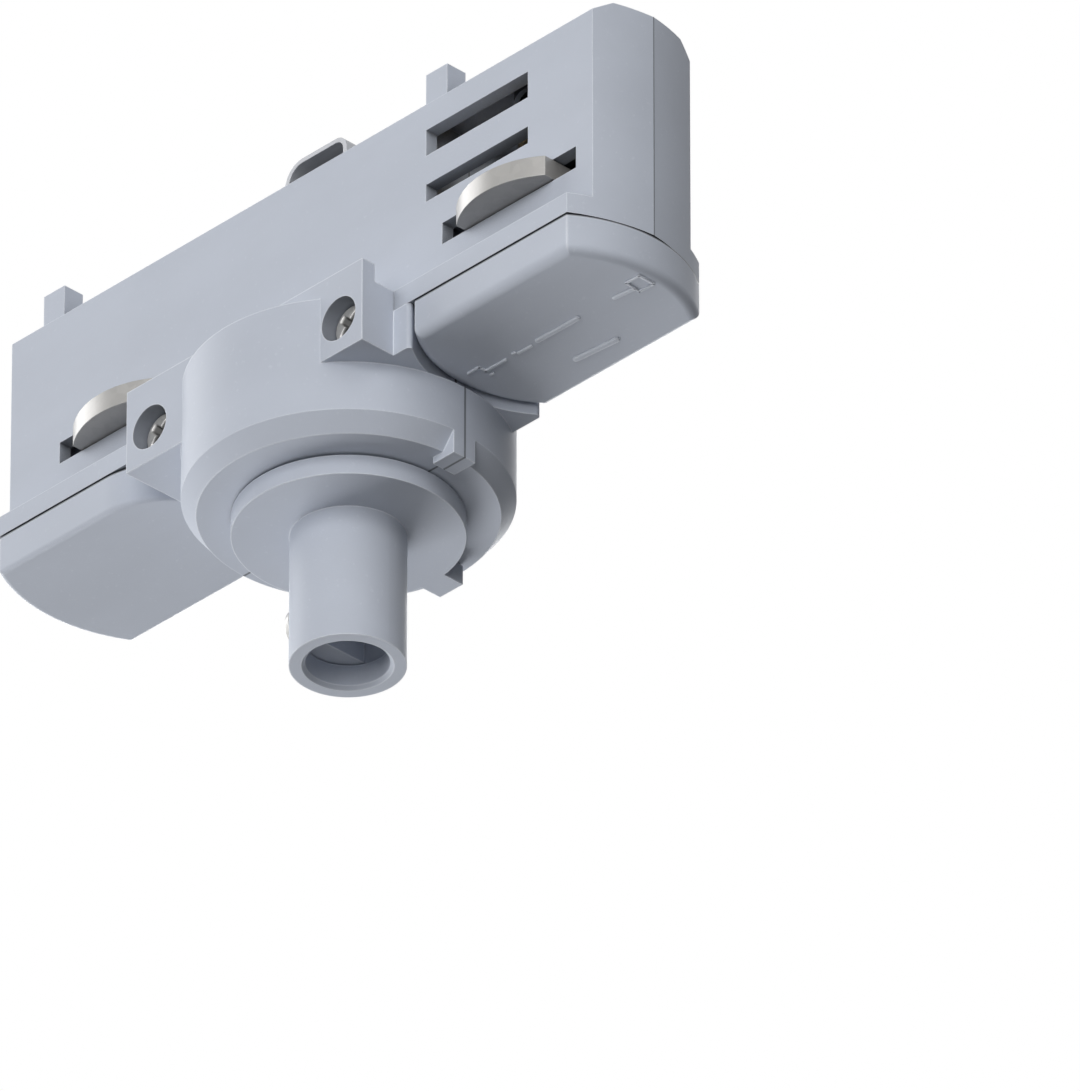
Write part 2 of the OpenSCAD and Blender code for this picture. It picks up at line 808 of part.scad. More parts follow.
module lock_lever() {
  color(plastic) translate([-lever_x, 0, 0]) {
    intersection() {
      knob_disc(lever_r, lever_edge);
      knob_bar(lever_edge);
      block([-far, -far, -far], [0, far, far]);
    }
    knob_disc(rim_hw, lever_edge);
    knob_shaft();
    z_rod(web_top + seat_gap, web_top + seat_gap + collar_h, collar_r);
  }
}

// Lock cam: a disc with two sides cut off, driven by the square of its shaft
module cam_plate() {
  eye = drive_w / 2 + run;
  difference() {
    intersection() {
      z_rod(drive_z, drive_z + cam_t, cam_r);
      block([-cam_w / 2, -far, -far], [cam_w / 2, far, far]);
    }
    block([-eye, -eye, -far], [eye, eye, far]);
  }
}

module selector_cam() {
  color(steel) translate([selector_x, 0, 0]) cam_plate();
}

module lever_cam() {
  color(steel) translate([-lever_x, 0, 0]) cam_plate();
}

// Insulating hub on the selector's shaft, with a pin that turns in the roof
module contact_carrier() {
  color(dark_plastic) translate([selector_x, 0, 0]) difference() {
    union() {
      z_rod(carrier_z, low_arm_z, carrier_foot_r);
      z_rod(carrier_z, high_arm_z + contact_t, carrier_r);
      z_rod(sleeve_split - split_h / 2, sleeve_split + split_h / 2, carrier_foot_r);
      z_rod(high_arm_z, roof_z + pin_l - seat_gap, pin_r);
    }
    intersection() {
      z_rod(carrier_z - lap, sleeve_split + run, journal_r + run);
      block([-far, -far, -far], [flat_x + run, far, far]);
    }
  }
}

// Contact: a sleeve round the carrier with an arm that reaches out to the rear
module contact(arm_z, sleeve_z0, sleeve_z1) {
  difference() {
    union() {
      z_rod(sleeve_z0, sleeve_z1, sleeve_r);
      block(
        [-contact_w / 2, 0, arm_z],
        [contact_w / 2, contact_r - contact_w / 2, arm_z + contact_t]
      );
      translate([0, contact_r - contact_w / 2, 0]) {
        z_rod(arm_z, arm_z + contact_t, contact_w / 2);
      }
    }
    z_rod(sleeve_z0 - lap, sleeve_z1 + lap, carrier_r + fit / 2);
  }
}

module phase_contact() {
  color(brass) translate([selector_x, 0, 0]) contact(low_arm_z, low_arm_z, sleeve_split - split_h / 2);
}

module neutral_contact() {
  color(brass) translate([selector_x, 0, 0]) {
    contact(high_arm_z, sleeve_split + split_h / 2, high_arm_z + contact_t);
  }
}

// Outline of the bent strip, with a bend radius at each shoulder
module loop_outline(w, top, bottom, left_r, right_r) {
  translate([-w / 2 + left_r, top - left_r]) circle(left_r);
  translate([w / 2 - right_r, top - right_r]) circle(right_r);
  translate([-w / 2, bottom]) square([left_r, top - left_r - bottom]);
  translate([w / 2 - right_r, bottom]) square([right_r, top - right_r - bottom]);
  translate([-w / 2 + left_r, bottom]) square([w - left_r - right_r, top - bottom]);
}

// Earth spring: a strip bent to a loop, with barbs under the roof
module earth_spring() {
  loop_top = body_h + loop_h;
  leg_end = block_top + strip_t + leg_space + loop_travel;
  color(steel) translate([loop_x, loop_d / 2, 0]) rotate([90, 0, 0]) linear_extrude(loop_d) {
    difference() {
      loop_outline(loop_w, loop_top, leg_end, left_bend, right_bend);
      loop_outline(
        loop_w - 2 * loop_t, loop_top - loop_t, leg_end - lap, left_bend - loop_t, right_bend - loop_t
      );
    }
    for (x = [-loop_w / 2 + loop_t / 2, loop_w / 2 - loop_t / 2 - barb]) {
      translate([x, roof_z - fit - loop_t]) square([barb, loop_t]);
    }
  }
}

// Three-pole terminal block on the ledges, with wire holes below and screw wells above
module terminal_block() {
  color(dark_plastic) difference() {
    block([block_x0, -iw + block_space, ledge_z], [block_x1, iw - block_space, block_top]);
    for (i = [-1:1]) {
      translate([block_mid + i * terminal_pitch, 0, 0]) {
        z_rod(ledge_z - lap, ledge_z + wire_depth, wire_r);
        z_rod(ledge_z + wire_depth - lap, far, shank_r + fit / 2);
        z_rod(block_top - well_h, far, terminal_head_r + fit);
      }
    }
    for (z = [low_strip_z, high_strip_z]) {
      block(
        [block_x1 - strip_in - fit, strip_y - fit, z - fit],
        [far, strip_y + strip_t + fit, z + strip_h + fit]
      );
    }
  }
}

module terminal_screws() {
  color(steel) for (i = [-1:1]) {
    translate([block_mid + i * terminal_pitch, 0, block_top - well_h]) difference() {
      union() {
        z_rod(-terminal_shank_l, head_t / 2, shank_r);
        z_rod(0, head_t, terminal_head_r);
      }
      block([-far, -driver_slot_w / 2, head_t - slot_d], [far, driver_slot_w / 2, far]);
    }
  }
}

// A straight strip from the block to the side of a contact's sleeve
module feed_strip(z) {
  block([block_x1 - strip_in, strip_y, z], [selector_x + strip_end, strip_y + strip_t, z + strip_h]);
}

module phase_strip() {
  color(brass) feed_strip(low_strip_z);
}

module neutral_strip() {
  color(brass) feed_strip(high_strip_z);
}

// Bent strip from the left terminal to the side of the earth spring's left leg
module earth_strip() {
  tab_x = loop_x - loop_w / 2 - strip_gap - strip_t;
  from_x = block_mid - terminal_pitch - terminal_head_r - lap;
  color(brass) difference() {
    union() {
      block(
        [from_x, -earth_strip_w / 2, block_top],
        [tab_x + strip_t, earth_strip_w / 2, block_top + strip_t]
      );
      block([tab_x, -earth_strip_w / 2, block_top], [tab_x + strip_t, earth_strip_w / 2, roof_z - seat_gap]);
    }
    translate([block_mid - terminal_pitch, 0, 0]) z_rod(0, far, terminal_head_r + fit);
  }
}

front_housing();
rear_housing();
housing_screws();
front_clamp();
rear_clamp();
clamp_screws();
swivel_outlet();
friction_washer();
cord_clamp_screw();
cord_clamp_shoe();
selector_knob();
selector_cam();
contact_carrier();
phase_contact();
neutral_contact();
lock_lever();
lever_cam();
earth_spring();
terminal_block();
terminal_screws();
phase_strip();
neutral_strip();
earth_strip();
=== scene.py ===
import bpy
import math
import numpy as np
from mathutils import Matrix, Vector


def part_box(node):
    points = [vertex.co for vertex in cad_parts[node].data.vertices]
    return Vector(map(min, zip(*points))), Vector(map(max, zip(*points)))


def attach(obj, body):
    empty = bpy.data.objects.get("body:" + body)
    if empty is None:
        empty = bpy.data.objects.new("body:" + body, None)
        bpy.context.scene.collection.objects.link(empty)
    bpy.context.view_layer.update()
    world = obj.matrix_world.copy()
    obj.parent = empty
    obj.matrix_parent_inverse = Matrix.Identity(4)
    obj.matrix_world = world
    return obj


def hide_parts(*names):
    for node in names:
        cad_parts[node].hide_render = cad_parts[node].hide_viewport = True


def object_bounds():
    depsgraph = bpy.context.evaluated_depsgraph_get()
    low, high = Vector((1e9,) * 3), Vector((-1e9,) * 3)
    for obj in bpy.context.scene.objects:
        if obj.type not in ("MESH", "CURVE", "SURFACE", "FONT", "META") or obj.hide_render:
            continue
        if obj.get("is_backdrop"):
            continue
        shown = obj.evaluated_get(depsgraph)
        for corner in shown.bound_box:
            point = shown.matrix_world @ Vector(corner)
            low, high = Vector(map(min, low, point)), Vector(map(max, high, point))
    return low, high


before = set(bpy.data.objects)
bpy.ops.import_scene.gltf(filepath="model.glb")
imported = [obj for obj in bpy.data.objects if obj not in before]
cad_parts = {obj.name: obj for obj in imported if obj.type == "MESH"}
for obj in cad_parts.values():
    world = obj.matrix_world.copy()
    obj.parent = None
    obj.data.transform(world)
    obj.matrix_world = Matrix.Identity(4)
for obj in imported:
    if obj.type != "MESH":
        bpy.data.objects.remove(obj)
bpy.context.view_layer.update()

# Half-shells: the front and rear housings, two satin polycarbonate mouldings that meet on the long
# parting plane and are closed by two screws. Their skin is the fine spark-eroded grain of the mould,
# with slow shifts of tone from the flow of the melt, paler edges that are partly rubbed wear and partly
# a painted highlight, painted shade in recesses and a painted shade hairline on the parting plane.


class Signal:
    """A shader socket in an expression: each operator adds one Math node and stands for its output."""

    def __init__(self, finish, socket):
        self.finish = finish
        self.socket = socket

    def __add__(self, other):
        return self.finish.math("ADD", self, other)

    def __radd__(self, other):
        return self.finish.math("ADD", other, self)

    def __sub__(self, other):
        return self.finish.math("SUBTRACT", self, other)

    def __rsub__(self, other):
        return self.finish.math("SUBTRACT", other, self)

    def __mul__(self, other):
        return self.finish.math("MULTIPLY", self, other)

    def __rmul__(self, other):
        return self.finish.math("MULTIPLY", other, self)


class Finish:
    """A material in the making: its Principled shader takes constants and signals by socket name."""

    def __init__(self, name, constants):
        self.material = bpy.data.materials.new(name)
        self.material.use_nodes = True
        self.tree = self.material.node_tree
        self.shader = self.tree.nodes["Principled BSDF"]
        self.feed(self.shader, constants)
        self.where = self.node("ShaderNodeTexCoord", {}, {}, "Object")

    def feed(self, node, sockets):
        """Links a signal to its socket, or sets the socket to a constant."""
        for name, value in sockets.items():
            if isinstance(value, Signal):
                self.tree.links.new(value.socket, node.inputs[name])
            else:
                node.inputs[name].default_value = value

    def node(self, kind, settings, sockets, output=0):
        """Any node: its settings are set first, then the values or links of its sockets."""
        made = self.tree.nodes.new(kind)
        for name, value in settings.items():
            setattr(made, name, value)
        self.feed(made, sockets)
        return Signal(self, made.outputs[output])

    def math(self, operation, first, second=0):
        """One Math node on signals or numbers."""
        return self.node("ShaderNodeMath", {"operation": operation}, {0: first, 1: second})

    def noise(self, scale, detail, stretch=(1, 1, 1)):
        """Noise from 0 to 1 with so many cells in a metre, drawn out along an axis by a small stretch."""
        drawn = self.node("ShaderNodeMapping", {}, {"Vector": self.where, "Scale": stretch})
        sockets = {"Vector": drawn, "Scale": scale, "Detail": detail}
        return self.node("ShaderNodeTexNoise", {}, sockets, "Fac")

    def ramp(self, value, low, high):
        """0 below low, 1 above high and a smooth rise between them."""
        settings = {"interpolation_type": "SMOOTHSTEP"}
        sockets = {"Value": value, "From Min": low, "From Max": high}
        return self.node("ShaderNodeMapRange", settings, sockets)

    def blend(self, share, first, second):
        """A colour between two others."""
        return self.node("ShaderNodeMix", {"data_type": "RGBA"}, {0: share, 6: first, 7: second}, 2)

    def rounding(self, radius):
        """The normal of the surface as if its edges were rounded to a radius."""
        return self.node("ShaderNodeBevel", {"samples": 6}, {"Radius": radius}, "Normal")

    def edges(self, rounded):
        """How far the rounded normal leans from the true one: 0 on a face, up to 0.3 on a square edge."""
        true = self.node("ShaderNodeNewGeometry", {}, {}, "Normal")
        settings = {"operation": "DOT_PRODUCT"}
        return 1 - self.node("ShaderNodeVectorMath", settings, {0: rounded, 1: true}, "Value")

    def shelter(self, reach):
        """How open the surface is to the air within a reach: 1 on an open face, near 0 deep in a recess."""
        return self.node("ShaderNodeAmbientOcclusion", {"samples": 8}, {"Distance": reach}, "AO")

    def along(self, axis):
        """The piece's own coordinate along an axis, in metres."""
        return self.node("ShaderNodeSeparateXYZ", {}, {"Vector": self.where}, axis)

    def hairline(self, axis, place, width):
        """1 on the plane at a place along an axis, and 0 beyond half a width from it."""
        away = self.math("ABSOLUTE", self.along(axis) - place)
        return 1 - self.ramp(away, 0.25 * width, 0.5 * width)

    def well(self, middle, reach, z, radius, floor):
        """1 in two bores along y, in front of their floor, and 0 outside them. Their axes are at z and a
        reach to each side of the middle x."""
        rim, step = 1.01 * radius, 0.0001
        aside = self.math("ABSOLUTE", self.along("X") - middle) - reach
        above = self.along("Z") - z
        away = self.math("SQRT", aside * aside + above * above)
        return (1 - self.ramp(away, radius, rim)) * (1 - self.ramp(self.along("Y"), floor, floor + step))

    def relief(self, height, depth, rounded):
        """The normal of a fine relief of so many metres, laid over the rounded edges."""
        sockets = {"Height": height, "Distance": depth, "Strength": 1.0, "Normal": rounded}
        return self.node("ShaderNodeBump", {}, sockets, "Normal")


def tint(colour, share=1.0):
    """A colour made lighter or darker by a share, with its alpha."""
    return (*(min(1.0, share * c) for c in colour), 1)


def moulded(name, resin, pale_tone, gloss, edge, parting_shade=None, recess_shade=None, bore_shade=None):
    """Satin moulded plastic: slow clouds of tone, fine grain in the relief and paler rounded edges, partly
    rubbed wear and partly a painted highlight. It can have painted shade: a dark hairline where pieces part,
    dark bores, and darkening between two degrees of shelter."""
    clouds_per_metre, flecks_per_metre, grains_per_metre = 90, 1500, 5200
    grain_depth, shade_reach = 0.000012, 0.005
    finish = Finish(name, {"IOR": 1.5, "Specular IOR Level": 0.1})
    rounded = finish.rounding(edge)
    clouds = finish.noise(clouds_per_metre, 4, (0.5, 1, 1))
    grain = finish.noise(grains_per_metre, 2)
    fleck = finish.ramp(finish.noise(flecks_per_metre, 2), 0.62, 0.8)
    # Painted highlight: rounded edges are blended towards the pale tone, partly as rubbed wear and partly as
    # a painted highlight.
    edge_wear_and_highlight = finish.ramp(finish.edges(finish.rounding(2 * edge)), 0.01, 0.06)
    body = finish.blend(finish.ramp(clouds, 0.3, 0.7), tint(resin, 0.97), tint(resin, 1.02))
    body = finish.blend(fleck * 0.12, body, tint(pale_tone))
    body = finish.blend(edge_wear_and_highlight * 0.7, body, tint(pale_tone))
    shade_tone = tint(resin, 0.22)
    # Painted shade: the colour goes towards the shade tone where the surface is sheltered in recesses.
    if recess_shade:
        body = finish.blend(finish.ramp(finish.shelter(shade_reach), *recess_shade), shade_tone, body)
    # Painted shade: the screw bores are darkened towards the shade tone.
    if bore_shade:
        body = finish.blend(finish.well(**bore_shade) * 0.65, body, shade_tone)
    # Painted shade: a dark hairline along the plane where pieces part.
    if parting_shade:
        body = finish.blend(finish.hairline(**parting_shade) * 0.85, body, shade_tone)
    finish.feed(finish.shader, {
        "Base Color": body,
        "Roughness": gloss + 0.08 * clouds + 0.06 * grain - 0.08 * edge_wear_and_highlight,
        "Normal": finish.relief(grain, grain_depth, rounded),
    })
    return finish.material


def dress(node, material):
    """Gives a solid of the model its finish."""
    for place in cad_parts[node].material_slots:
        place.material = material


grey_resin = (0.528, 0.565, 0.64)
grey_pale_tone = (0.86, 0.89, 0.95)
shell_finish = moulded(
    "shell_plastic", grey_resin, grey_pale_tone, gloss=0.42, edge=0.00008,
    parting_shade={"axis": "Y", "place": 0, "width": 0.00022}, recess_shade=(0.2, 0.85),
)
dress("front_housing", shell_finish)
dress("rear_housing", shell_finish)

# Clamp drum: the front and rear halves that grip the housing's spigot, moulded of the same resin
# in a second mould with a slightly drier grain, and drawn together by two screws in their ears. The
# tabs, ears, horns and swivel stop are one with them.

ear_low, ear_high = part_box("clamp_screws")
ear_head_r = (ear_high.z - ear_low.z) / 2
ear_middle = (ear_low + ear_high) / 2
ear_play = 0.00022
head_h = 0.0012
# Painted shade: a dark hairline on the parting plane and darkened bores for the ear screws.
clamp_finish = moulded(
    "clamp_plastic", grey_resin, grey_pale_tone, gloss=0.45, edge=0.00014,
    parting_shade={"axis": "Y", "place": 0, "width": 0.0004},
    bore_shade={
        "middle": ear_middle.x, "reach": (ear_high.x - ear_low.x) / 2 - ear_head_r, "z": ear_middle.z,
        "radius": ear_head_r + ear_play, "floor": ear_low.y + head_h,
    },
)
dress("front_clamp", clamp_finish)
dress("rear_clamp", clamp_finish)

# Swivel outlet: disc, stop lug and cord tube in one moulding, turned in the drum by hand and so a
# little smoother. The D-shaped clamp shoe in the tube comes from the same resin.

swivel_finish = moulded("swivel_plastic", grey_resin, grey_pale_tone, gloss=0.40, edge=0.00014)
dress("swivel_outlet", swivel_finish)
dress("cord_clamp_shoe", swivel_finish)

# Selector knob and lock lever: the two handles under the rim, each one moulding with its shaft.
# They are polished by fingers, and a painted shade line at their top shows the gap between them and the rim.

handle_top = -0.00305
knob_finish = moulded(
    "knob_plastic", grey_resin, grey_pale_tone, gloss=0.38, edge=0.00025,
    parting_shade={"axis": "Z", "place": handle_top, "width": 0.0004},
)
dress("selector_knob", knob_finish)
dress("lock_lever", knob_finish)

# Lock cams: stamped steel plates on the squares of the two shafts, zinc plated and tumbled, with
# faint spangle on the faces and bright rounded edges, partly burnished and partly a painted highlight.


def plated(name, metal, shade, gloss, cell, edge, share):
    """Plated steel: soft spangle of two tones with so many cells in a metre, fine tumbling marks in the
    relief and brighter rounded edges, partly worn and partly a painted highlight. Painted shade darkens a
    driver's recess, which a screw's mesh gives as its recess attribute. The share of bare metal is 0 to 1."""
    marks_per_metre, marks_depth = 3800, 0.000006
    finish = Finish(name, {"Metallic": share})
    rounded = finish.rounding(edge)
    spangle = finish.node("ShaderNodeTexVoronoi", {}, {"Vector": finish.where, "Scale": cell}, "Color")
    spangle_tone = finish.node("ShaderNodeRGBToBW", {}, {"Color": spangle})
    tone = spangle_tone * 0.6 + finish.noise(cell * 0.4, 3) * 0.4
    marks = finish.noise(marks_per_metre, 3, (0.35, 1, 1))
    edge_wear_and_highlight = finish.ramp(finish.edges(rounded), 0.03, 0.2)
    face = finish.blend(finish.ramp(tone, 0.2, 0.8), tint(shade), tint(metal))
    # Painted shade: the mesh's recess attribute darkens the driver's recess towards a dark tone.
    sunk = finish.node("ShaderNodeAttribute", {"attribute_name": "recess"}, {}, "Fac")
    # Painted highlight: rounded edges are brightened, partly as worn metal and partly as a painted
    # highlight.
    worn_and_highlit = finish.blend(edge_wear_and_highlight * 0.7, face, tint(metal, 1.15))
    finish.feed(finish.shader, {
        "Base Color": finish.blend(sunk, worn_and_highlit, tint(shade, 0.2)),
        "Roughness": gloss + 0.1 * tone + 0.08 * marks - 0.1 * edge_wear_and_highlight + 0.3 * sunk,
        "Normal": finish.relief(marks, marks_depth, rounded),
    })
    return finish.material


cam_finish = plated(
    "cam_steel", (0.40, 0.392, 0.38), (0.36, 0.353, 0.342), gloss=0.28, cell=900, edge=0.00015, share=0.3)
dress("selector_cam", cam_finish)
dress("lever_cam", cam_finish)

# Screws: zinc-plated steel with rolled threads. Cross-recessed pan heads close the clamp and the
# half-shells, and plain slots turn the cord clamp's screw and the three terminal screws.

screw_finish = plated(
    "screw_steel", (0.66, 0.655, 0.64), (0.56, 0.555, 0.545), gloss=0.32, cell=1600, edge=0.00008, share=0.6)


def screw(head_r, head_h, shank_r, shank_l, pitch, recess):
    """A screw's radius and height over rows and turns: a low crown with its recess cut in, a rounded
    rim, the flat under the head, a thread whose ridge climbs one pitch in a turn, and a blunt point.
    The last grid says how far each point lies in the recess, from 0 to 1."""
    columns, crown_rows, rim_rows, rows_per_pitch = 96, 34, 7, 7
    rim, fall = 0.28 * head_h, 0.16 * head_h
    thread_cut, blunt = 0.22, 0.55
    turn = np.linspace(0, 2 * np.pi, columns, endpoint=False)[None, :]
    ring = np.ones_like(turn)
    across = np.linspace(0.01 * head_r, 1, crown_rows)[:, None] * (head_r - rim)
    cut = recess(across * np.cos(turn), across * np.sin(turn))
    crown = head_h - fall * (across / head_r) ** 2 - cut
    bend = np.linspace(0, np.pi / 2, rim_rows)[1:, None]
    shoulder = head_h - fall * ((head_r - rim) / head_r) ** 2
    along = np.linspace(0, 1, max(8, int(shank_l / pitch * rows_per_pitch)))[:, None] * shank_l
    groove = np.abs(2 * np.mod(along / pitch - turn / (2 * np.pi), 1) - 1)
    taper = np.clip((shank_l - along) / pitch, blunt, 1)
    thread = shank_r * (1 - thread_cut * groove) * taper
    radius = np.concatenate([
        across * ring, (head_r - rim + rim * np.sin(bend)) * ring, head_r * ring,
        0.97 * head_r * ring, 1.02 * shank_r * ring, thread, 0.02 * shank_r * ring,
    ])
    height = np.concatenate([
        crown, (shoulder - rim + rim * np.cos(bend)) * ring, 0.06 * head_h * ring,
        0 * ring, 0 * ring, -along * ring, -shank_l * ring,
    ])
    sunk = np.zeros_like(radius)
    sunk[:crown_rows] = np.clip(3 * cut / cut.max(), 0, 1)
    return radius, height, turn, sunk


def stand(surface, origin, first, second, axis):
    """A turned surface set on an axis: each point is origin + radius cos(turn) first
    + radius sin(turn) second + height axis, and its fourth value is how far it lies in the recess."""
    radius, height, turn, sunk = surface
    first, second, axis = (np.array(v, dtype=float) for v in (first, second, axis))
    points = (np.array(origin) + (radius * np.cos(turn))[..., None] * first
              + (radius * np.sin(turn))[..., None] * second + height[..., None] * axis)
    return np.concatenate([points, sunk[..., None]], axis=2)


def piece(name, grids, material, body):
    """One mesh of closed grids of points[row, column]: quads join each point to the next row and the
    next column, the columns run round, and one face closes each end row. A fourth value of a point,
    where there is one, becomes the mesh's recess attribute."""
    smooth_below = math.radians(40)
    points, faces, count = [], [], 0
    for grid in grids:
        rows, columns = grid.shape[:2]
        number = count + np.arange(rows * columns).reshape(rows, columns)
        after = np.roll(number, -1, axis=1)
        quads = np.stack([number[:-1], number[1:], after[1:], after[:-1]], axis=-1).reshape(-1, 4)
        faces += quads.tolist() + [number[0].tolist(), number[-1][::-1].tolist()]
        points.append(grid.reshape(rows * columns, -1))
        count += rows * columns
    points = np.concatenate(points)
    mesh = bpy.data.meshes.new(name)
    mesh.from_pydata(points[:, :3].tolist(), [], faces)
    if points.shape[1] == 4:
        recess = mesh.attributes.new("recess", "FLOAT", "POINT")
        recess.data.foreach_set("value", points[:, 3].astype(np.float32))
    mesh.shade_smooth()
    mesh.set_sharp_from_angle(angle=smooth_below)
    mesh.materials.append(material)
    made = bpy.data.objects.new(name, mesh)
    bpy.context.scene.collection.objects.link(made)
    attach(made, body)
    return made


def cross_recess(reach, width, depth):
    """Depth of a cross recess: two arms that are deepest in the middle and rise towards their ends."""
    def arm(u, v):
        side = np.clip((width / 2 - np.abs(v)) / (0.22 * width), 0, 1)
        return side * np.clip((reach - np.abs(u)) / (0.45 * reach), 0, 1)
    return lambda x, y: depth * np.maximum(arm(x, y), arm(y, x))


def straight_slot(width, depth):
    """Depth of a straight driver slot with steep sides."""
    return lambda x, y: depth * np.clip((width / 2 - np.abs(y)) / (0.12 * width), 0, 1)


shank_r = 0.0012
coarse_pitch, fine_pitch = 0.001, 0.0005
driver_slot = straight_slot(width=0.0008, depth=0.00055)

diagonal = math.sqrt(0.5)
ear_cross = cross_recess(reach=0.0021, width=0.0012, depth=0.0009)
pan_head = screw(ear_head_r, head_h, shank_r, ear_high.y - ear_low.y - head_h, coarse_pitch, ear_cross)
clamp_screw_pair = piece("clamp_screw_pair", [
    stand(
        pan_head, (x, ear_low.y + head_h, ear_middle.z),
        (diagonal, 0, diagonal), (-diagonal, 0, diagonal), (0, -1, 0),
    )
    for x in (ear_low.x + ear_head_r, ear_high.x - ear_head_r)
], screw_finish, "housing")
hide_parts("clamp_screws")

low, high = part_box("housing_screws")
head_r = (high.z - low.z) / 2
shell_cross = cross_recess(reach=0.0016, width=0.0009, depth=0.0008)
pan_head = screw(head_r, head_h, shank_r, high.y - low.y - head_h, coarse_pitch, shell_cross)
housing_screw_pair = piece("housing_screw_pair", [
    stand(pan_head, (x, high.y - head_h, (low.z + high.z) / 2), (0, 0, 1), (1, 0, 0), (0, 1, 0))
    for x in (low.x + head_r, high.x - head_r)
], screw_finish, "housing")
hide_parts("housing_screws")

low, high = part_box("cord_clamp_screw")
head_r = (high.z - low.z) / 2
cord_head_h, cord_shank_r = 0.001, 0.0015
flat_head = screw(
    head_r, cord_head_h, cord_shank_r, high.x - low.x - cord_head_h, fine_pitch, driver_slot)
cord_screw = piece("cord_screw_slotted", [
    stand(flat_head, (low.x + cord_head_h, 0, (low.z + high.z) / 2), (0, 1, 0), (0, 0, -1), (-1, 0, 0))
], screw_finish, "cord_screw")
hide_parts("cord_clamp_screw")

low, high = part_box("terminal_screws")
head_r = (high.y - low.y) / 2
wire_screw = screw(head_r, head_h, shank_r, high.z - low.z - head_h, fine_pitch, driver_slot)
terminal_screw_row = piece("terminal_screw_row", [
    stand(wire_screw, (x, 0, high.z - head_h), (1, 0, 0), (0, 1, 0), (0, 0, 1))
    for x in (low.x + head_r, (low.x + high.x) / 2, high.x - head_r)
], screw_finish, "housing")
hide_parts("terminal_screws")

# Position marks: low ridges moulded on the underside of the selector knob, of its own resin, which
# show which way it points. They stand 0.2 mm proud and their feet are sunk a little into the knob.


def ridge(start, end, width, foot, height):
    """Rings of a ridge from its foot down to its crest: point(turn) = end or start + reach (cos(turn) along
    + sin(turn) across). Half the turn lies round each end, and the reach is drawn in at the crest."""
    corners = 32
    along = (end - start) / np.linalg.norm(end - start)
    across = np.array((-along[1], along[0]))
    turn = np.linspace(-np.pi / 2, 3 * np.pi / 2, corners, endpoint=False)[:, None]
    middle = np.where(turn < np.pi / 2 + 1e-9, end, start)
    ring = np.cos(turn) * along + np.sin(turn) * across
    reach = width * np.array((0.5, 0.5, 0.46, 0.34))[:, None, None]
    drop = height * np.array((-0.4, 0.6, 0.85, 1.0))[:, None, None]
    level = np.broadcast_to(foot - drop, (len(drop), corners, 1))
    return np.concatenate([middle + reach * ring, level], axis=2)


mm = 0.001
mark_height = 0.0002
knob_low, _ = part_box("selector_knob")
knob_axis = np.array((0.0355, 0.0))
marks_mm = [
    ((-3.4, 0.0), (3.2, 0.05), 0.72), ((-3.1, 6.0), (3.1, 6.5), 0.9),
    ((-6.85, 0.2), (-4.75, 0.25), 0.42), ((-7.4, -0.15), (-7.15, -0.15), 0.4),
    ((-14.1, -1.0), (-12.3, -1.0), 0.36), ((-12.3, -1.0), (-12.3, 0.12), 0.36),
    ((-12.3, 0.12), (-9.0, 0.14), 0.42),
    ((-12.45, 1.1), (-12.15, 1.1), 0.4), ((9.4, 0.1), (12.3, 0.4), 0.62),
    ((12.6, -1.15), (14.7, -1.1), 0.34), ((14.7, -1.1), (14.7, 1.35), 0.34),
    ((14.7, 1.35), (12.4, 1.25), 0.34), ((12.4, 1.25), (12.6, -1.15), 0.34),
]
piece("knob_marks", [
    ridge(
        knob_axis + mm * np.array(start), knob_axis + mm * np.array(end), mm * width,
        knob_low.z, mark_height,
    )
    for start, end, width in marks_mm
], knob_finish, "selector")

# Earth spring: a loop of rolled stainless strip that stands with both legs in slots of the roof and
# touches the track's earth. The rolling leaves fine lines along the strip.


def rolled(name, metal, shade, gloss, stretch, tarnish, share):
    """Rolled strip: fine lines drawn out along the strip by a stretch, with a soft change of tone across
    them, and a tarnish, from 0 to 1, where it is sheltered. The share of bare metal is 0 to 1."""
    edge, lines_depth, stain_reach = 0.00012, 0.000005, 0.006
    lines_per_metre, tones_per_metre = 4200, 260
    finish = Finish(name, {"Metallic": share})
    rounded = finish.rounding(edge)
    lines = finish.noise(lines_per_metre, 2, stretch)
    tone = finish.noise(tones_per_metre, 3)
    edge_wear_and_highlight = finish.ramp(finish.edges(rounded), 0.03, 0.2)
    face = finish.blend(finish.ramp(lines * 0.5 + tone * 0.5, 0.3, 0.7), tint(shade), tint(metal))
    # Painted highlight: rounded edges are lightened, partly as wear and partly as a painted highlight.
    worn_and_highlit = finish.blend(edge_wear_and_highlight * 0.8, face, tint(metal, 1.2))
    stain = (1 - finish.ramp(finish.shelter(stain_reach), 0.5, 0.95)) * tarnish
    finish.feed(finish.shader, {
        "Base Color": finish.blend(stain, worn_and_highlit, tint(shade, 0.18)),
        "Roughness": gloss + 0.12 * lines - 0.08 * edge_wear_and_highlight,
        "Normal": finish.relief(lines, lines_depth, rounded),
    })
    return finish.material


spring_finish = rolled(
    "spring_steel", (0.46, 0.475, 0.50), (0.40, 0.41, 0.435),
    gloss=0.42, stretch=(0.06, 1, 0.06), tarnish=0.0, share=0.3,
)
dress("earth_spring", spring_finish)

# Contacts and strips: two contact arms on the selector's carrier and the three strips that run from
# the terminal block, stamped from half-hard brass with tarnish where they are sheltered.

brass_finish = rolled(
    "contact_brass", (0.72, 0.53, 0.24), (0.60, 0.42, 0.18),
    gloss=0.26, stretch=(0.05, 1, 1), tarnish=0.9, share=1.0,
)
for node in ("phase_contact", "neutral_contact", "phase_strip", "neutral_strip", "earth_strip"):
    dress(node, brass_finish)

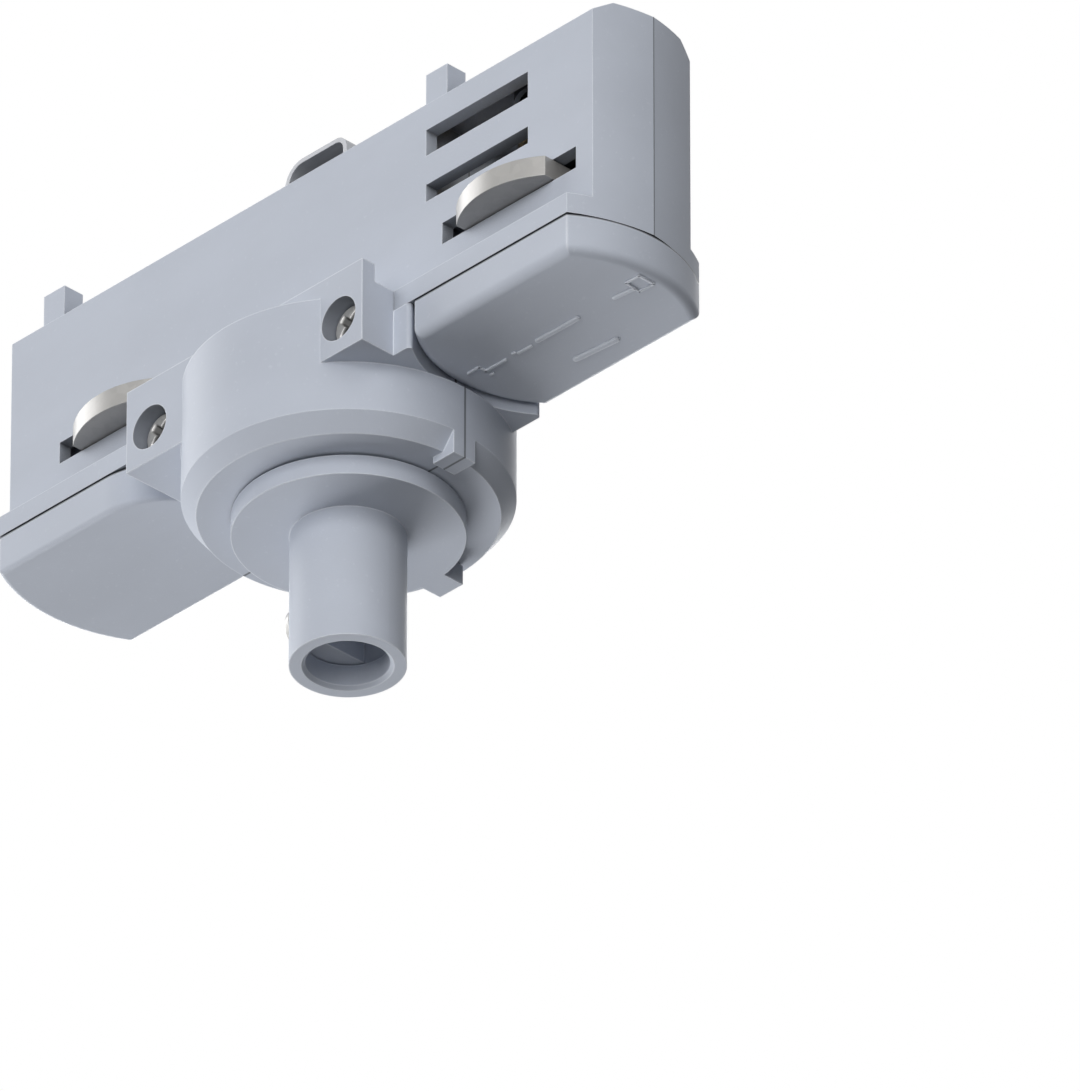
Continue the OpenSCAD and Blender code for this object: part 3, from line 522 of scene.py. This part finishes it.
# Inner mouldings: the contact carrier on the selector's shaft, the terminal block on its ledges and
# the friction washer, of dark glass-filled polyamide with a dry, slightly speckled skin.

inner_finish = moulded(
    "inner_plastic", (0.045, 0.046, 0.05), (0.10, 0.10, 0.11), gloss=0.5, edge=0.00012)
for node in ("contact_carrier", "terminal_block", "friction_washer"):
    dress(node, inner_finish)

# Studio: a pale floor far below, because the adapter hangs and is seen from below. Five soft lamps
# light it, two at the left and one each at the right, in front and behind. The surround looks white
# but gives little light, and a long lens looks up from the front right.


class Surround(Finish):
    """The even light all round, made with the same nodes as a finish."""

    def __init__(self, name):
        self.world = bpy.data.worlds.new(name)
        self.world.use_nodes = True
        self.tree = self.world.node_tree
        self.shader = self.tree.nodes["Background"]


def seen(finish):
    """1 on rays that look, from the camera, by reflection or through a clear body, and 0 on the rest."""
    camera_ray, glossy_ray, clear_ray = (
        finish.node("ShaderNodeLightPath", {}, {}, f"Is {ray} Ray")
        for ray in ("Camera", "Glossy", "Transmission")
    )
    return finish.math("MAXIMUM", finish.math("MAXIMUM", camera_ray, glossy_ray), clear_ray)


floor_half, floor_z = 1.5, -3
floor_corners = [(x * floor_half, y * floor_half, floor_z) for x, y in ((-1, -1), (1, -1), (1, 1), (-1, 1))]
floor_mesh = bpy.data.meshes.new("floor")
floor_mesh.from_pydata(floor_corners, [], [(0, 1, 2, 3)])
floor_finish = Finish("pale_floor", {"Roughness": 0.9, "Specular IOR Level": 0.1})
floor_tone = floor_finish.ramp(floor_finish.noise(3, 3), 0.2, 0.8)
floor_finish.feed(floor_finish.shader, {
    "Base Color": floor_finish.blend(floor_tone, (0.80, 0.80, 0.80, 1), (0.84, 0.84, 0.84, 1)),
    "Emission Color": floor_finish.blend(seen(floor_finish), (0, 0, 0, 1), (0.55, 0.55, 0.55, 1)),
    "Emission Strength": 1.0,
})
floor_mesh.materials.append(floor_finish.material)
floor = bpy.data.objects.new("floor", floor_mesh)
bpy.context.scene.collection.objects.link(floor)
floor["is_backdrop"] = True

given_light, seen_light = 0.07, 1.0
surround = Surround("studio")
surround.feed(surround.shader, {
    "Color": (1, 1, 1, 1),
    "Strength": given_light + (seen_light - given_light) * seen(surround),
})
bpy.context.scene.world = surround.world


def lamp(name, direction, power):
    """A square soft lamp that faces the adapter from a direction."""
    lamp_far, lamp_size = 2.5, 1.8
    light = bpy.data.lights.new(name, "AREA")
    light.shape = "SQUARE"
    light.size = lamp_size
    light.energy = power
    made = bpy.data.objects.new(name, light)
    made.location = Vector(direction).normalized() * lamp_far
    made.rotation_euler = made.location.to_track_quat("Z", "Y").to_euler()
    made.visible_camera = False
    bpy.context.scene.collection.objects.link(made)


lamp("upper_left_lamp", (-0.837, -0.224, 0.500), 36)
lamp("lower_left_lamp", (-0.853, 0.150, -0.500), 52)
lamp("upper_right_lamp", (0.814, -0.296, 0.500), 17)
lamp("front_lamp", (0.423, -0.906, 0.000), 46)
lamp("rear_lamp", (-0.600, 0.740, 0.300), 34)

view_az, view_el = math.radians(46.0), math.radians(-32.75)
view_far, aim_right, aim_down = 2.723, 0.02255, 0.01844
right = Vector((math.cos(view_az), math.sin(view_az), 0))
level_back = Vector((math.sin(view_az), -math.cos(view_az), 0))
back = level_back * math.cos(view_el) + Vector((0, 0, math.sin(view_el)))
up = back.cross(right)
camera_data = bpy.data.cameras.new("camera")
camera_data.lens = 760
camera_data.sensor_width = 36
camera_data.clip_start = 0.1
camera_data.clip_end = 20
camera = bpy.data.objects.new("camera", camera_data)
camera.location = right * aim_right - up * aim_down + back * view_far
camera.rotation_euler = back.to_track_quat("Z", "Y").to_euler()
bpy.context.scene.collection.objects.link(camera)
bpy.context.scene.camera = camera
bpy.context.scene.view_settings.view_transform = "Standard"

low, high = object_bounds()
